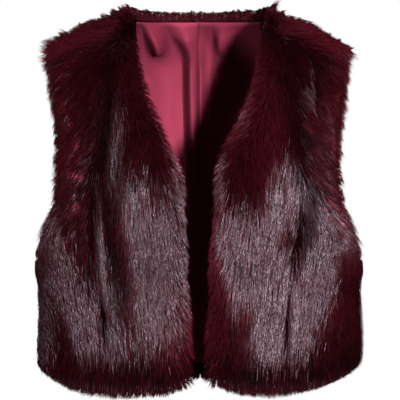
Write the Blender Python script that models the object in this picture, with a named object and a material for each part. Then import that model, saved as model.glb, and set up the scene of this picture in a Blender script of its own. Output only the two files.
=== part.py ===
"""Cropped fur gilet with an open front and a satin lining, filled out as if it were worn.

Metres, +Z up. The garment faces -Y, and +X is the wearer's left. The origin lies midway between
the two points where a shoulder seam meets the neckline, on the inside of the fur's backing.
"""

import math
from collections import namedtuple

import bmesh
import bpy
import numpy as np

# Cloth
LINING_WALL = 0.0012
LINING_GAP = 0.0012  # between the backing and the lining
SEAM_GAP = 0.0003

# Cut, measured on the inside of the backing
NECK_HALF_WIDTH = 0.080
SHOULDER_HALF_WIDTH = 0.178
SHOULDER_DROP = 0.042
SHOULDER_ROUND = 0.075  # height over which front and back curve up into the shoulder seam
BACK_NECK_RISE = 0.003
UNDERARM = -0.300
HEM_SIDE = -0.441
HEM_FRONT = -0.464
HEM_BACK = -0.470
SQUARENESS = 2.4  # exponent of the oval sections, 2 for an ellipse

# Rows and columns of each panel's grid
ROWS_BELOW_UNDERARM = 7
ROWS_ABOVE_UNDERARM = 15
COLUMNS_EDGE_TO_FURROW = 7
COLUMNS_FURROW_TO_SIDE = 8
COLUMNS_HALF_NECK = 5
COLUMNS_BACK_SHOULDER = 8

# Oval sections of the body, from the hem to the neck
Section = namedtuple("Section", "height half_width front_depth back_depth")
SECTIONS = (
    Section(-0.470, 0.191, 0.112, 0.109),
    Section(-0.430, 0.191, 0.111, 0.104),
    Section(-0.376, 0.188, 0.111, 0.099),
    Section(-0.335, 0.189, 0.113, 0.099),
    Section(-0.300, 0.193, 0.116, 0.102),
    Section(-0.255, 0.190, 0.118, 0.107),
    Section(-0.200, 0.187, 0.115, 0.112),
    Section(-0.140, 0.187, 0.106, 0.113),
    Section(-0.090, 0.188, 0.095, 0.108),
    Section(-0.042, 0.190, 0.080, 0.097),
    Section(0.010, 0.190, 0.064, 0.086),
)

# Thickness of backing and pile together
Pile = namedtuple("Pile", "height depth")
PILE = (
    Pile(-0.470, 0.0190),
    Pile(-0.400, 0.0210),
    Pile(-0.100, 0.0210),
    Pile(-0.055, 0.0230),
    Pile(-0.030, 0.0235),
    Pile(0.005, 0.0210),
)

# The front edge of the backing, straight below and a V above
FrontEdge = namedtuple("FrontEdge", "height from_middle")
FRONT_EDGE = (
    FrontEdge(-0.462, 0.016),
    FrontEdge(-0.356, 0.018),
    FrontEdge(-0.295, 0.020),
    FrontEdge(-0.233, 0.023),
    FrontEdge(-0.196, 0.029),
    FrontEdge(-0.171, 0.039),
    FrontEdge(-0.146, 0.051),
    FrontEdge(-0.127, 0.059),
    FrontEdge(-0.094, 0.069),
    FrontEdge(-0.054, 0.077),
    FrontEdge(0.000, NECK_HALF_WIDTH),
)

# The armhole's edge on the front and on the back, from the underarm to the shoulder
Armhole = namedtuple("Armhole", "height front back")
ARMHOLE = (
    Armhole(-0.300, 0.193, 0.193),
    Armhole(-0.285, 0.184, 0.186),
    Armhole(-0.262, 0.174, 0.178),
    Armhole(-0.233, 0.166, 0.171),
    Armhole(-0.194, 0.163, 0.167),
    Armhole(-0.142, 0.165, 0.168),
    Armhole(-0.090, 0.172, 0.173),
    Armhole(-SHOULDER_DROP, SHOULDER_HALF_WIDTH, SHOULDER_HALF_WIDTH),
)

# The furrow down the pile of each front: how far from the middle, and how deep
Furrow = namedtuple("Furrow", "height right_front left_front depth")
FURROW = (
    Furrow(-0.465, 0.116, 0.105, 0.000),
    Furrow(-0.405, 0.118, 0.107, 0.004),
    Furrow(-0.350, 0.121, 0.112, 0.009),
    Furrow(-0.295, 0.125, 0.120, 0.011),
    Furrow(-0.240, 0.127, 0.132, 0.011),
    Furrow(-0.195, 0.125, 0.131, 0.010),
    Furrow(-0.145, 0.117, 0.122, 0.009),
    Furrow(-0.095, 0.111, 0.113, 0.007),
    Furrow(-0.055, 0.107, 0.108, 0.003),
    Furrow(0.000, 0.106, 0.106, 0.000),
)
FURROW_HALF_WIDTH = 0.014

# How far the pile hangs past each free edge of the backing
Overhang = namedtuple("Overhang", "hem front_edge back_neck armhole_top armhole_middle underarm")
OVERHANG = Overhang(0.013, 0.010, 0.007, 0.022, 0.015, 0.009)

# The rounded lip of the pile at a free edge, as shares of the overhang and of the wall
LipStep = namedtuple("LipStep", "out across")
LIP = (LipStep(0.72, 0.14), LipStep(1.00, 0.50), LipStep(0.72, 0.86))

# The lower front corner of each front, which rounds off towards the hem
FrontCut = namedtuple("FrontCut", "node lining side furrow corner_rise corner_run")
FRONTS = (
    FrontCut("front_right", "lining_front_right", -1, "right_front", 0.007, 0.014),
    FrontCut("front_left", "lining_front_left", 1, "left_front", 0.010, 0.026),
)

# Soft folds of the lining, raised towards the wearer
LiningFold = namedtuple("LiningFold", "across half_width depth top bottom")
BACK_LINING_FOLDS = (
    LiningFold(-0.112, 0.026, 0.006, -0.060, -0.400),
    LiningFold(-0.046, 0.024, 0.007, -0.012, -0.380),
    LiningFold(0.040, 0.022, 0.006, -0.016, -0.350),
    LiningFold(0.105, 0.028, 0.006, -0.070, -0.410),
)
LINING_SETBACK = 0.003  # from the backing's neck, front and armhole edges
LINING_ABOVE_HEM = 0.016

# Finish of each cloth: colour, roughness
FUR_FINISH = ((0.060, 0.004, 0.009, 1.0), 0.55)
SATIN_FINISH = ((0.42, 0.060, 0.112, 1.0), 0.35)


def clear_scene():
    for thing in list(bpy.data.objects):
        bpy.data.objects.remove(thing, do_unlink=True)


def along(table, column, heights):
    """A table's column at the given heights, read from a smooth curve through its rows."""
    rows = sorted(table)
    at_rows = np.array([row.height for row in rows])
    values = np.array([getattr(row, column) for row in rows])
    slopes = np.gradient(values, at_rows)
    heights = np.clip(heights, at_rows[0], at_rows[-1])
    low = np.clip(np.searchsorted(at_rows, heights, side="right") - 1, 0, len(rows) - 2)
    step = at_rows[low + 1] - at_rows[low]
    t = (heights - at_rows[low]) / step
    ends = values[low] * (1 + 2 * t) * (1 - t) ** 2 + values[low + 1] * t**2 * (3 - 2 * t)
    bends = slopes[low] * t * (1 - t) ** 2 - slopes[low + 1] * t**2 * (1 - t)
    return ends + step * bends


def unit(vectors):
    return vectors / np.maximum(np.linalg.norm(vectors, axis=-1, keepdims=True), 1e-12)


def shoulder_line(x):
    """Height of the shoulder seam, and of a curve that carries it on across the neck."""
    slope = SHOULDER_DROP / (SHOULDER_HALF_WIDTH - NECK_HALF_WIDTH)
    from_neck = NECK_HALF_WIDTH - np.abs(x)
    levelled = from_neck - from_neck**3 / (3 * NECK_HALF_WIDTH**2)
    return slope * np.where(from_neck < 0, from_neck, levelled)


def row_shares():
    """Share of the way from hem to top for each row, closer at the underarm and the shoulder."""
    underarm = (UNDERARM - HEM_SIDE) / (-SHOULDER_DROP - HEM_SIDE)
    below = np.linspace(0, underarm, ROWS_BELOW_UNDERARM + 1)
    rise = (1 - np.cos(np.linspace(0, math.pi, ROWS_ABOVE_UNDERARM + 1)[1:])) / 2
    return np.concatenate([below, underarm + (1 - underarm) * rise])[:, None]


def oval_angle(x, half_width):
    """Angle round an oval section, from its middle, at which it is x wide."""
    return np.arcsin(np.clip(x / half_width, 0, 1) ** (SQUARENESS / 2))


def on_oval(angle):
    """Share of the half width and of the depth at an angle round an oval section."""
    across = np.sign(angle) * np.abs(np.sin(angle)) ** (2 / SQUARENESS)
    return across, np.clip(np.cos(angle), 0, 1) ** (2 / SQUARENESS)


def body_depth(x, height, share, column):
    """Distance in front of or behind the side seams, curving to nothing at the shoulder seam."""
    below_seam = np.clip((shoulder_line(x) - height) / SHOULDER_ROUND, 0, 1)
    round_over = np.sqrt(1 - (1 - below_seam) ** 2)
    return SEAM_GAP / 2 + along(SECTIONS, column, height) * share * round_over


def side_limits(rows, armhole_column):
    """Half width of the section, and the angle of the panel's side or armhole edge, on each row."""
    height = HEM_SIDE + rows * (-SHOULDER_DROP - HEM_SIDE)
    half_width = along(SECTIONS, "half_width", height)
    edge = along(ARMHOLE, armhole_column, height)
    angle = oval_angle(np.where(height > UNDERARM + 1e-6, edge, half_width), half_width)
    return half_width, angle


def front_grid(cut):
    """Points on the inside of a front's backing, [row from hem][column from the front edge]."""
    rows = row_shares()
    half_width, side_angle = side_limits(rows, "front")
    edge_bottom = HEM_FRONT + cut.corner_rise
    edge_height = edge_bottom + rows * (0 - edge_bottom)
    edge_angle = oval_angle(along(FRONT_EDGE, "from_middle", edge_height), half_width)
    furrow_angle = oval_angle(along(FURROW, cut.furrow, edge_height), half_width)
    t = np.linspace(0, 1, COLUMNS_EDGE_TO_FURROW + 1)
    to_furrow = (t + np.sin(t * math.pi / 2)) / 2
    t = np.linspace(0, 1, COLUMNS_FURROW_TO_SIDE + 1)[1:]
    to_side = (t + 1 - np.cos(t * math.pi / 2)) / 2
    angle = np.concatenate(
        [
            edge_angle + (furrow_angle - edge_angle) * to_furrow,
            furrow_angle + (side_angle - furrow_angle) * to_side,
        ],
        axis=1,
    )
    across, share = on_oval(angle)
    x = half_width * across
    side_rise = (HEM_SIDE - HEM_FRONT) * np.sin(angle[0]) ** 6
    corner = cut.corner_rise * np.exp(-(((x[0] - x[0, 0]) / cut.corner_run) ** 2))
    hem = HEM_FRONT + side_rise + corner
    height = hem + rows * (shoulder_line(x[-1]) - hem)
    depth = body_depth(x, height, share, "front_depth")
    return np.stack([cut.side * x, -depth, height], axis=-1)


def back_grid():
    """Points on the inside of the back's backing, [row from hem][column from -X to +X]."""
    rows = row_shares()
    half_width, side_angle = side_limits(rows, "back")
    neck_share = float(oval_angle(NECK_HALF_WIDTH, half_width[-1])[0] / side_angle[-1][0])
    neck = np.linspace(0, neck_share, COLUMNS_HALF_NECK + 1)
    shoulder = np.linspace(neck_share, 1, COLUMNS_BACK_SHOULDER + 1)[1:]
    half = np.concatenate([neck, shoulder])
    angle = side_angle * np.concatenate([-half[:0:-1], half])
    across, share = on_oval(angle)
    x = half_width * across
    hem = HEM_BACK + (HEM_SIDE - HEM_BACK) * np.abs(np.sin(angle[0])) ** 6
    in_neck = np.abs(x[-1]) < NECK_HALF_WIDTH - 1e-6
    neckline = BACK_NECK_RISE * (1 - (x[-1] / NECK_HALF_WIDTH) ** 2)
    top = np.where(in_neck, neckline, shoulder_line(x[-1]))
    height = hem + rows * (top - hem)
    depth = body_depth(x, height, share, "back_depth")
    return np.stack([x, depth, height], axis=-1)


def outward(points, facing, seam):
    """Unit vectors out of the garment, lying in the seam's own plane along a seam."""
    normals = np.cross(np.gradient(points, axis=1), np.gradient(points, axis=0))
    middle_row = normals[len(normals) // 2, normals.shape[1] // 2]
    normals = normals if middle_row[1] * facing > 0 else -normals
    normals[seam, 1] = 0
    return unit(normals)


class Rim:
    """The edge of a panel's grid, in order round it, and which way its pile hangs over.

    Each stop is a row and a column. A free stretch runs between two stops, with overhangs spaced
    along it, and everything else is seam. At the end of a free stretch the pile hangs over in
    line with the seam that starts there. The lining draws back from the edge along the grid.
    """

    def __init__(self, points, free_stretches):
        last_row, last_column = points.shape[0] - 1, points.shape[1] - 1
        bottom = [(0, c) for c in range(last_column)]
        side = [(r, last_column) for r in range(last_row)]
        top = [(last_row, c) for c in range(last_column, 0, -1)]
        other_side = [(r, 0) for r in range(last_row, 0, -1)]
        self.loop = bottom + side + top + other_side
        self.points = points
        self.shape = (last_row, last_column)
        self.hang = np.zeros(points.shape)
        self.draw = np.zeros(points.shape)
        self.free = np.zeros(points.shape[:2], bool)
        for start, end, overhangs in free_stretches:
            self._hang_over(start, end, overhangs)

    def _hang_over(self, start, end, overhangs):
        count = len(self.loop)
        first = self.loop.index(start)
        length = (self.loop.index(end) - first) % count
        shares = np.linspace(0, 1, len(overhangs))
        for k in range(length + 1):
            here = self.loop[(first + k) % count]
            before = self.loop[(first + k - 1) % count]
            after = self.loop[(first + k + 1) % count]
            self.free[here] = True
            if k == 0:
                way = across = self.points[here] - self.points[before]
            elif k == length:
                way = across = self.points[here] - self.points[after]
            else:
                across = self.points[here] - self.points[self._inner(here)]
                tangent = unit(self.points[after] - self.points[before])
                way = across - tangent * np.dot(across, tangent)
            self.draw[here] = -unit(across)
            self.hang[here] = unit(way) * np.interp(k / length, shares, overhangs)

    def _inner(self, here):
        return tuple(min(max(k, 1), last - 1) for k, last in zip(here, self.shape))

    def seam(self):
        """Stops on a seam, and the ends of the free stretches beside it."""
        on_seam = np.zeros(self.free.shape, bool)
        for k, here in enumerate(self.loop):
            near = (self.loop[k - 1], here, self.loop[(k + 1) % len(self.loop)])
            on_seam[here] = not all(self.free[stop] for stop in near)
        return on_seam


def wall(name, inside, outside, rim_rings, loop, material):
    """One closed wall from two grids of points and the rings that join them round their edge."""
    mesh = bmesh.new()
    rows, columns = inside.shape[:2]

    def grid(points):
        return [[mesh.verts.new(points[r, c]) for c in range(columns)] for r in range(rows)]

    inner, outer = grid(inside), grid(outside)
    for verts in (inner, outer):
        for r in range(rows - 1):
            for c in range(columns - 1):
                mesh.faces.new(
                    (verts[r][c], verts[r][c + 1], verts[r + 1][c + 1], verts[r + 1][c])
                )
    rings = [[inner[r][c] for r, c in loop]]
    rings += [[mesh.verts.new(ring[stop]) for stop in loop] for ring in rim_rings]
    rings += [[outer[r][c] for r, c in loop]]
    for low, high in zip(rings, rings[1:]):
        for k in range(len(loop)):
            mesh.faces.new((low[k - 1], low[k], high[k], high[k - 1]))
    bmesh.ops.triangulate(mesh, faces=mesh.faces[:], quad_method="FIXED")
    bmesh.ops.recalc_face_normals(mesh, faces=mesh.faces)
    data = bpy.data.meshes.new(name)
    mesh.to_mesh(data)
    mesh.free()
    data.shade_smooth()
    data.set_sharp_from_angle(angle=math.radians(40))
    data.materials.append(material)
    thing = bpy.data.objects.new(name, data)
    bpy.context.scene.collection.objects.link(thing)
    return thing


def fur_panel(name, points, normals, rim, pile, material):
    """A panel of backing and pile, with a rounded lip of pile along its free edges."""
    lift = normals * pile[..., None]
    rings = [points + rim.hang * step.out + lift * step.across for step in LIP]
    return wall(name, points, points + lift, rings, rim.loop, material)


def lining_panel(name, points, normals, rim, fold, setback, material):
    """A thin panel inside a fur panel, on the same points, drawn back from its free edges."""
    cut = points + rim.draw * setback[..., None]
    near = cut - normals * (LINING_GAP + fold)[..., None]
    far = near - normals * LINING_WALL
    return wall(name, far, near, [], rim.loop, material)


def furrowed_pile(cut, points):
    """Pile depth over a front, less at its furrow."""
    height = points[..., 2]
    aside = np.abs(points[..., 0]) - along(FURROW, cut.furrow, height)
    trough = along(FURROW, "depth", height)
    return along(PILE, "depth", height) - trough * np.exp(-((aside / FURROW_HALF_WIDTH) ** 2))


def lining_setback(points):
    """How far the lining stops short of the backing's edge: most at the hem."""
    setback = np.full(points.shape[:2], LINING_SETBACK)
    setback[0] = LINING_ABOVE_HEM
    return setback


def lining_folds(points, folds):
    """How far each point of the lining is raised towards the wearer."""
    x, height = points[..., 0], points[..., 2]
    raised = np.zeros(points.shape[:2])
    for fold in folds:
        middle = (fold.top + fold.bottom) / 2
        fade = np.clip(1 - ((height - middle) / (fold.top - middle)) ** 4, 0, 1)
        raised += fold.depth * fade * np.exp(-(((x - fold.across) / fold.half_width) ** 2))
    return raised


def make_front(cut, fur, satin):
    points = front_grid(cut)
    last_row, last_column = points.shape[0] - 1, points.shape[1] - 1
    armhole = (OVERHANG.underarm, OVERHANG.armhole_middle, OVERHANG.armhole_top)
    front = (OVERHANG.front_edge,) * 4 + (OVERHANG.hem,) * 3
    rim = Rim(
        points,
        (
            ((ROWS_BELOW_UNDERARM, last_column), (last_row, last_column), armhole),
            ((last_row, 0), (0, last_column), front),
        ),
    )
    normals = outward(points, -1, rim.seam())
    fur_panel(cut.node, points, normals, rim, furrowed_pile(cut, points), fur)
    flat = np.zeros(points.shape[:2])
    lining_panel(cut.lining, points, normals, rim, flat, lining_setback(points), satin)


def make_back(fur, satin):
    points = back_grid()
    last_row, last_column = points.shape[0] - 1, points.shape[1] - 1
    middle = last_column // 2
    neck = middle - COLUMNS_HALF_NECK, middle + COLUMNS_HALF_NECK
    armhole = (OVERHANG.underarm, OVERHANG.armhole_middle, OVERHANG.armhole_top)
    rim = Rim(
        points,
        (
            ((0, 0), (0, last_column), (OVERHANG.hem,) * 2),
            ((ROWS_BELOW_UNDERARM, last_column), (last_row, last_column), armhole),
            ((last_row, neck[1]), (last_row, neck[0]), (OVERHANG.back_neck,) * 2),
            ((last_row, 0), (ROWS_BELOW_UNDERARM, 0), armhole[::-1]),
        ),
    )
    normals = outward(points, 1, rim.seam())
    fur_panel("back", points, normals, rim, along(PILE, "depth", points[..., 2]), fur)
    make_back_lining("lining_back_right", points, normals, rim, slice(0, middle + 1), satin)
    make_back_lining("lining_back_left", points, normals, rim, slice(middle, None), satin)


def make_back_lining(name, points, normals, rim, columns, satin):
    """One half of the back lining. The halves meet at a seam down the middle."""
    fold = lining_folds(points, BACK_LINING_FOLDS)[:, columns]
    setback = lining_setback(points)[:, columns]
    half, half_normals = points[:, columns].copy(), normals[:, columns].copy()
    at_middle = np.abs(half[..., 0]) < 1e-6
    inwards = np.sign(half[..., 0].sum())
    half[at_middle, 0] = inwards * SEAM_GAP / 2
    half_normals[at_middle, 0] = 0
    half_rim = Rim(half, ())
    half_rim.draw = rim.draw[:, columns].copy()
    half_rim.draw[at_middle, 0] = 0
    lining_panel(name, half, unit(half_normals), half_rim, fold, setback, satin)


def cloth_material(name, finish):
    colour, roughness = finish
    material = bpy.data.materials.new(name)
    material.use_nodes = True
    shader = material.node_tree.nodes["Principled BSDF"]
    shader.inputs["Base Color"].default_value = colour
    shader.inputs["Roughness"].default_value = roughness
    shader.inputs["Metallic"].default_value = 0.0
    return material


def main():
    clear_scene()
    fur = cloth_material("burgundy_fur", FUR_FINISH)
    satin = cloth_material("burgundy_satin", SATIN_FINISH)
    for cut in FRONTS:
        make_front(cut, fur, satin)
    make_back(fur, satin)


main()
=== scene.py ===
import math

import bpy
import numpy as np
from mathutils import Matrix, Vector
from mathutils.kdtree import KDTree


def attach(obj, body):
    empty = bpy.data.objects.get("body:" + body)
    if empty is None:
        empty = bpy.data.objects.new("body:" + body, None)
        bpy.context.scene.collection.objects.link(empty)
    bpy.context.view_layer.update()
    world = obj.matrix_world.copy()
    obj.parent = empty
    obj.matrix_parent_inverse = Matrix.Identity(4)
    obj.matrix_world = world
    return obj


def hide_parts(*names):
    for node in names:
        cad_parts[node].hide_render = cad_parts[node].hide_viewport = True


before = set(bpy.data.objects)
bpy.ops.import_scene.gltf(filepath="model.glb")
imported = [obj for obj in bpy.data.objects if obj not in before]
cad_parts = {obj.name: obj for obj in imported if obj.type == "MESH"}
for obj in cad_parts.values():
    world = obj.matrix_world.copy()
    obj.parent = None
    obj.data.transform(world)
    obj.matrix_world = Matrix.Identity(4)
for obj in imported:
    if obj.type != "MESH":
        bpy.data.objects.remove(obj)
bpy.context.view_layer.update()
bpy.ops.object.select_all(action="DESELECT")
print("frame loaded:", len(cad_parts), "nodes")

# camera, straight at the front from chest height
cameraSet = {"spot": (0.002, -2.3, -0.233), "tilt": 90.0, "lens": 159.2}
bpy.ops.object.camera_add(
    location=cameraSet["spot"], rotation=(math.radians(cameraSet["tilt"]), 0, 0)
)
camera = bpy.context.object
camera.name = "frontCamera"
camera.data.lens = cameraSet["lens"]
bpy.context.scene.camera = camera
print("camera placed")


# the cut of the gilet on the inside of the backing, the same sizes as the solids have
giletCut = {
    "neckHalf": 0.080,
    "shoulderHalf": 0.178,
    "shoulderDrop": 0.042,
    "shoulderRound": 0.075,
    "backNeckRise": 0.003,
    "underarm": -0.300,
    "hemSide": -0.441,
    "hemFront": -0.464,
    "hemBack": -0.470,
    "hemPower": 6,  # higher keeps the hem low until nearer the side
    "squareness": 2.4,
    "slack": 1e-6,  # for telling whether a place is past a line
    # height, half width, front depth, back depth
    "sections": (
        (-0.470, 0.191, 0.112, 0.109), (-0.430, 0.191, 0.111, 0.104), (-0.376, 0.188, 0.111, 0.099),
        (-0.335, 0.189, 0.113, 0.099), (-0.300, 0.193, 0.116, 0.102), (-0.255, 0.190, 0.118, 0.107),
        (-0.200, 0.187, 0.115, 0.112), (-0.140, 0.187, 0.106, 0.113), (-0.090, 0.188, 0.095, 0.108),
        (-0.042, 0.190, 0.080, 0.097), (0.010, 0.190, 0.064, 0.086),
    ),
    # height, front edge from the middle
    "frontEdge": (
        (-0.462, 0.016), (-0.356, 0.018), (-0.295, 0.020), (-0.233, 0.023), (-0.196, 0.029),
        (-0.171, 0.039), (-0.146, 0.051), (-0.127, 0.059), (-0.094, 0.069), (-0.054, 0.077),
        (0.000, 0.080),
    ),
    # height, armhole edge on the front, on the back
    "armhole": (
        (-0.300, 0.193, 0.193), (-0.285, 0.184, 0.186), (-0.262, 0.174, 0.178), (-0.233, 0.166, 0.171),
        (-0.194, 0.163, 0.167), (-0.142, 0.165, 0.168), (-0.090, 0.172, 0.173), (-0.042, 0.178, 0.178),
    ),
}

# rows and columns that each panel is drawn with
clothGrid = {"drawnRows": 320, "rows": 101, "toFurrow": 28, "toSide": 32, "neck": 20, "shoulder": 32}


def along(table, column, heights):  # smooth curve through a column of a table
    rows = np.array(sorted(table))
    atRows, values = rows[:, 0], rows[:, column]
    slopes = np.gradient(values, atRows)
    heights = np.clip(heights, atRows[0], atRows[-1])
    low = np.clip(np.searchsorted(atRows, heights, side="right") - 1, 0, len(rows) - 2)
    step = atRows[low + 1] - atRows[low]
    t = (heights - atRows[low]) / step
    ends = values[low] * (1 + 2 * t) * (1 - t) ** 2 + values[low + 1] * t**2 * (3 - 2 * t)
    bends = slopes[low] * t * (1 - t) ** 2 - slopes[low + 1] * t**2 * (1 - t)
    return ends + step * bends


def unit(vectors):
    return vectors / np.maximum(np.linalg.norm(vectors, axis=-1, keepdims=True), 1e-12)


def ramp(values, start, end):  # smooth step from 0 at start to 1 at end
    t = np.clip((values - start) / (end - start), 0, 1)
    return t * t * (3 - 2 * t)


def bell(values, width):
    return np.exp(-((values / width) ** 2))


def runAlong(points):  # metres from the first point to each
    return np.concatenate([[0], np.cumsum(np.linalg.norm(np.diff(points, axis=0), axis=1))])


def inNeck(x):
    return np.abs(x) < giletCut["neckHalf"] - giletCut["slack"]


def shoulderLine(x):
    slope = giletCut["shoulderDrop"] / (giletCut["shoulderHalf"] - giletCut["neckHalf"])
    fromNeck = giletCut["neckHalf"] - np.abs(x)
    levelled = fromNeck - fromNeck**3 / (3 * giletCut["neckHalf"] ** 2)
    return slope * np.where(fromNeck < 0, fromNeck, levelled)


def hemLine(middle, angle):  # rises from the height in the middle to the side seam's
    rise = np.abs(np.sin(angle)) ** giletCut["hemPower"]
    return middle + (giletCut["hemSide"] - middle) * rise


def ovalAngle(x, halfWidth):
    return np.arcsin(np.clip(x / halfWidth, 0, 1) ** (giletCut["squareness"] / 2))


def onOval(angle):  # share of the half width and of the depth
    power = 2 / giletCut["squareness"]
    across = np.sign(angle) * np.abs(np.sin(angle)) ** power
    return across, np.clip(np.cos(angle), 0, 1) ** power


def bodyDepth(x, height, share, column):
    belowSeam = np.clip((shoulderLine(x) - height) / giletCut["shoulderRound"], 0, 1)
    roundOver = np.sqrt(1 - (1 - belowSeam) ** 2)
    return along(giletCut["sections"], column, height) * share * roundOver


def drawnRows():  # share of the way from hem to top, closest at the shoulder
    top, hem = -giletCut["shoulderDrop"], giletCut["hemSide"]
    underarm = (giletCut["underarm"] - hem) / (top - hem)
    count = clothGrid["drawnRows"] // 2
    below = np.linspace(0, underarm, count + 1)
    rise = (1 - np.cos(np.linspace(0, math.pi, count + 1)[1:])) / 2
    return np.concatenate([below, underarm + (1 - underarm) * rise])[:, None]


def sideLimits(rows, armholeColumn):
    height = giletCut["hemSide"] + rows * (-giletCut["shoulderDrop"] - giletCut["hemSide"])
    halfWidth = along(giletCut["sections"], 1, height)
    edge = along(giletCut["armhole"], armholeColumn, height)
    edge = np.where(height > giletCut["underarm"] + giletCut["slack"], edge, halfWidth)
    return halfWidth, ovalAngle(edge, halfWidth)


def evenRows(points):  # the same surface with rows an even step apart along each column
    even = np.empty((clothGrid["rows"],) + points.shape[1:])
    for c in range(points.shape[1]):
        run = runAlong(points[:, c])
        stops = np.linspace(0, run[-1], clothGrid["rows"])
        for k in range(3):
            even[:, c, k] = np.interp(stops, run, points[:, c, k])
    return even


def makeCloth(points, facing):
    points = evenRows(points)
    rowStep, columnStep = np.gradient(points, axis=0), np.gradient(points, axis=1)
    normals = np.cross(columnStep, rowStep)
    middle = normals[len(normals) // 2, normals.shape[1] // 2]
    normals = normals if middle[1] * facing > 0 else -normals
    onSeam = np.zeros(points.shape[:2], bool)
    onSeam[-1] = ~inNeck(points[-1, :, 0])
    for c in (-1,) if facing < 0 else (0, -1):
        onSeam[:, c] = points[:, c, 2] < giletCut["underarm"]
    normals[onSeam, 1] = 0
    return {
        "points": points,
        "normals": unit(normals),
        "rowStep": rowStep,
        "columnStep": columnStep,
        "facing": facing,
        "side": np.sign(points[0, -1, 0]),
    }


def frontCloth(side, furrowColumn, cornerRise, cornerRun):
    rows = drawnRows()
    halfWidth, sideAngle = sideLimits(rows, 1)
    edgeHeight = (giletCut["hemFront"] + cornerRise) * (1 - rows)
    edgeAngle = ovalAngle(along(giletCut["frontEdge"], 1, edgeHeight), halfWidth)
    furrowAngle = ovalAngle(along(pileCut["furrow"], furrowColumn, edgeHeight), halfWidth)
    t = np.linspace(0, 1, clothGrid["toFurrow"] + 1)
    toFurrow = (t + np.sin(t * math.pi / 2)) / 2
    t = np.linspace(0, 1, clothGrid["toSide"] + 1)[1:]
    toSide = (t + 1 - np.cos(t * math.pi / 2)) / 2
    nearEdge = edgeAngle + (furrowAngle - edgeAngle) * toFurrow
    nearSide = furrowAngle + (sideAngle - furrowAngle) * toSide
    angle = np.concatenate([nearEdge, nearSide], axis=1)
    across, share = onOval(angle)
    x = halfWidth * across
    hem = hemLine(giletCut["hemFront"], angle[0]) + cornerRise * bell(x[0] - x[0, 0], cornerRun)
    height = hem + rows * (shoulderLine(x[-1]) - hem)
    depth = bodyDepth(x, height, share, 2)
    return makeCloth(np.stack([side * x, -depth, height], axis=-1), -1)


def backCloth():
    rows = drawnRows()
    halfWidth, sideAngle = sideLimits(rows, 2)
    neckShare = float(ovalAngle(giletCut["neckHalf"], halfWidth[-1])[0] / sideAngle[-1][0])
    neck = np.linspace(0, neckShare, clothGrid["neck"] + 1)
    shoulder = np.linspace(neckShare, 1, clothGrid["shoulder"] + 1)[1:]
    half = np.concatenate([neck, shoulder])
    angle = sideAngle * np.concatenate([-half[:0:-1], half])
    across, share = onOval(angle)
    x = halfWidth * across
    hem = hemLine(giletCut["hemBack"], angle[0])
    neckline = giletCut["backNeckRise"] * (1 - (x[-1] / giletCut["neckHalf"]) ** 2)
    top = np.where(inNeck(x[-1]), neckline, shoulderLine(x[-1]))
    height = hem + rows * (top - hem)
    depth = bodyDepth(x, height, share, 3)
    return makeCloth(np.stack([x, depth, height], axis=-1), 1)


def lookUp(field, row, column):  # field at places between the grid's points
    r = np.clip(row.astype(int), 0, field.shape[0] - 2)
    c = np.clip(column.astype(int), 0, field.shape[1] - 2)
    fr, fc = row - r, column - c
    if field.ndim > 2:
        fr, fc = fr[..., None], fc[..., None]
    low = field[r, c] * (1 - fc) + field[r, c + 1] * fc
    high = field[r + 1, c] * (1 - fc) + field[r + 1, c + 1] * fc
    return low * (1 - fr) + high * fr


def spotsOn(cloth, row, column):
    return lookUp(cloth["points"], row, column)


def normalsOn(cloth, row, column):
    return unit(lookUp(cloth["normals"], row, column))


# one class for shader maths: an expression on values adds its Math nodes
class Wire:
    def __init__(self, tree, socket=None):
        self.tree, self.socket = tree, socket

    def node(self, kind, settings=None, sockets=None, output=0):
        made = self.tree.nodes.new(kind)
        for name, value in (settings or {}).items():
            if name == "stops":
                self.setStops(made.color_ramp, value)
            else:
                setattr(made, name, value)
        for name, value in (sockets or {}).items():
            if isinstance(value, Wire):
                self.tree.links.new(value.socket, made.inputs[name])
            else:
                made.inputs[name].default_value = value
        return Wire(self.tree, made.outputs[output])

    def setStops(self, colorRamp, stops):
        while len(colorRamp.elements) < len(stops):
            colorRamp.elements.new(1.0)
        for element, (place, colour) in zip(colorRamp.elements, stops):
            element.position = place
            element.color = (*colour, 1.0)

    def maths(self, operation, first, second):
        return self.node("ShaderNodeMath", {"operation": operation}, {0: first, 1: second})

    def __add__(self, other):
        return self.maths("ADD", self, other)

    def __sub__(self, other):
        return self.maths("SUBTRACT", self, other)

    def __rsub__(self, other):
        return self.maths("SUBTRACT", other, self)

    def __mul__(self, other):
        return self.maths("MULTIPLY", self, other)

    def __pow__(self, other):
        return self.maths("POWER", self, other)

    __radd__ = __add__
    __rmul__ = __mul__

    def blend(self, kind, share, first, second):
        settings = {"data_type": "RGBA", "blend_type": kind}
        return self.node("ShaderNodeMix", settings, {0: share, 6: first, 7: second}, 2)

    def mix(self, first, second):  # two colours, by this value
        return self.blend("MIX", self, first, second)

    def tint(self, other):  # this colour times another
        return self.blend("MULTIPLY", 1.0, self, other)


def newMaterial(name, constants):
    material = bpy.data.materials.new(name)
    material.use_nodes = True
    shader = material.node_tree.nodes["Principled BSDF"]
    for socket, value in constants.items():
        shader.inputs[socket].default_value = value
    return material, shader, Wire(material.node_tree)


def connect(shader, socket, wire):
    wire.tree.links.new(wire.socket, shader.inputs[socket])


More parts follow.
